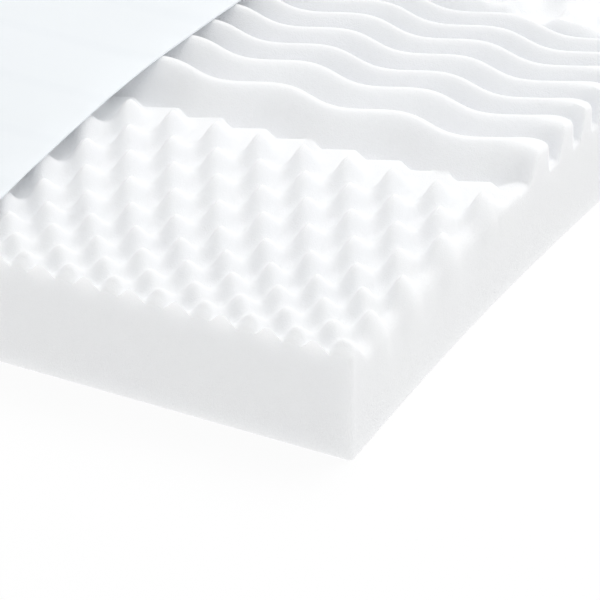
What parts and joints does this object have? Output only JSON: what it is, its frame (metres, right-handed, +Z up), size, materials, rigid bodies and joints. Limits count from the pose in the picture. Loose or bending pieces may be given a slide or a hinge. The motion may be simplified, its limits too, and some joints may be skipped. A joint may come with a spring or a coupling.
{
  "type": "foam mattress",
  "caption": "Foam mattress core with knobbed ends and middle, wavy cut ridges between them, and a thin cloth cover drawn over one long half.",
  "frame": {"origin": "middle of the flat underside", "axes": "+Y along the length, +X across towards the bare foam side, +Z up"},
  "size_m": [0.9245, 2.0002, 0.1428],
  "materials": {
    "foam": "pale cut foam, matt, fine open cells",
    "cover_cloth": "white knitted cloth, matt"
  },
  "bodies": {
    "root": {"foam_core": "foam", "cover": "cover_cloth"}
  },
  "joints": []
}
